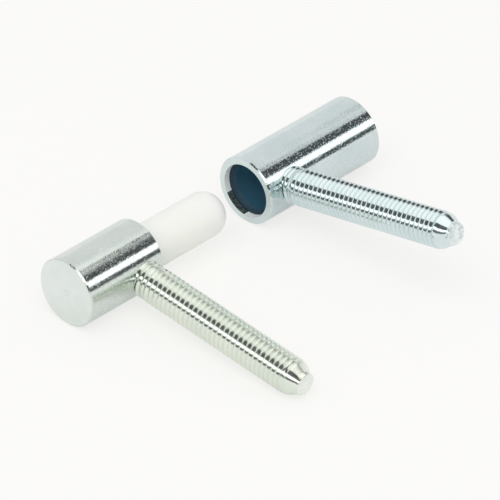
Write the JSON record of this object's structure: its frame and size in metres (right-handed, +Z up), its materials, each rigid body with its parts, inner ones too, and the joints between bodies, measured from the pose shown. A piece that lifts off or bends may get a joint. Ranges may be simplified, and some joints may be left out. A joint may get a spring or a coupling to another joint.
{
  "type": "drill-in hinge",
  "caption": "Two-part lift-off hinge for drilling in: a short steel knuckle with a round-nosed nylon pin and a longer sleeve knuckle, each on a threaded shank",
  "frame": {"origin": "on the table, below the middle of the outline of both halves as they lie pulled apart", "axes": "X along the pin axis from the frame half to the leaf half, the threaded shanks towards -Y, Z up"},
  "size_m": [0.084, 0.0596, 0.0221],
  "materials": {
    "zinc_barrel": "bright zinc plating on turned steel",
    "zinc_thread": "bright zinc plating on rolled thread",
    "nylon": "natural milky nylon"
  },
  "bodies": {
    "frame": {"frame_knuckle": "zinc_barrel", "frame_shank": "zinc_thread"},
    "pin": {"hinge_pin": "nylon"},
    "leaf": {"leaf_knuckle": "zinc_barrel", "leaf_shank": "zinc_thread"}
  },
  "joints": [
    {"name": "swing", "type": "hinge", "parent": "frame", "child": "pin", "pos_m": [-0.0215, 0.02231, 0.0075], "axis": [1, 0, 0], "continuous": true},
    {"name": "lift_off", "type": "slide", "parent": "pin", "child": "leaf", "axis": [1, 0, 0], "range_m": [-0.0307, 0]}
  ]
}
